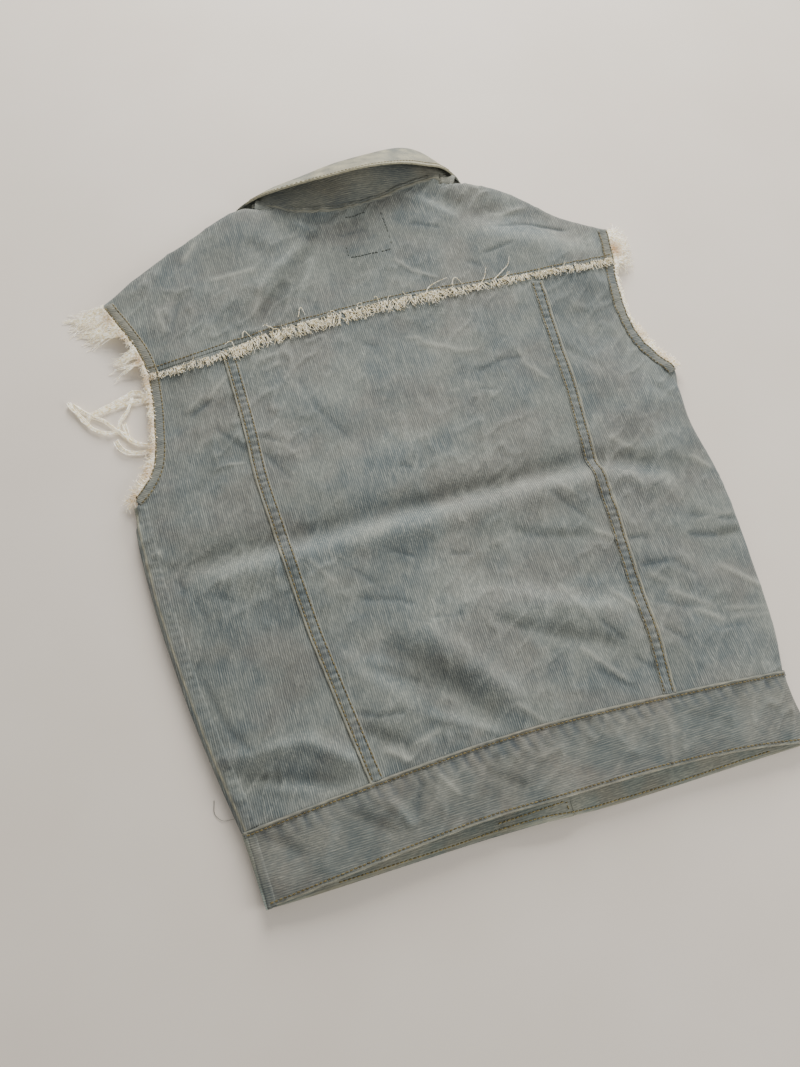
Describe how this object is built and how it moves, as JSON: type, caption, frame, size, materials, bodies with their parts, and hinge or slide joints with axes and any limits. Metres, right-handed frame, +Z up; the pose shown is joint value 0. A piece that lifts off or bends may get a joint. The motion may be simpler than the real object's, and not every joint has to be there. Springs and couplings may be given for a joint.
{
  "type": "denim vest laid flat",
  "caption": "Sleeveless denim vest laid face down with its back up: raw fringed armholes and yoke seam, turned-down collar, waistband and buttoned front placket.",
  "frame": {"origin": "middle of the outline in plan, on the surface that the vest lies on", "axes": "+Y from the hem to the collar, +X to the right as seen from above with the back up, +Z up from the surface"},
  "size_m": [0.514, 0.596, 0.0496],
  "materials": {
    "denim": "washed twill, matt",
    "worn_denim": "washed twill with worn seams, matt",
    "collar_denim": "washed twill, two layers, matt",
    "cotton_fringe": "frayed cotton yarn, matt",
    "button_metal": "aged, satin"
  },
  "bodies": {
    "root": {"back_yoke": "denim", "centre_back": "denim", "side_back_left": "denim", "side_back_right": "denim", "front_left": "denim", "front_right": "denim", "placket_left": "worn_denim", "placket_right": "worn_denim", "waistband_back": "worn_denim", "waistband_front_left": "worn_denim", "waistband_front_right": "worn_denim", "collar": "collar_denim", "princess_seam_left": "worn_denim", "princess_seam_right": "worn_denim", "side_seam_left": "worn_denim", "armhole_band_left": "worn_denim", "armhole_band_right": "worn_denim", "yoke_fringe": "cotton_fringe", "armhole_fringe_left": "cotton_fringe", "armhole_fringe_right": "cotton_fringe", "button_1": "button_metal", "button_2": "button_metal", "button_3": "button_metal", "button_4": "button_metal", "button_5": "button_metal", "button_6": "button_metal"}
  },
  "joints": []
}
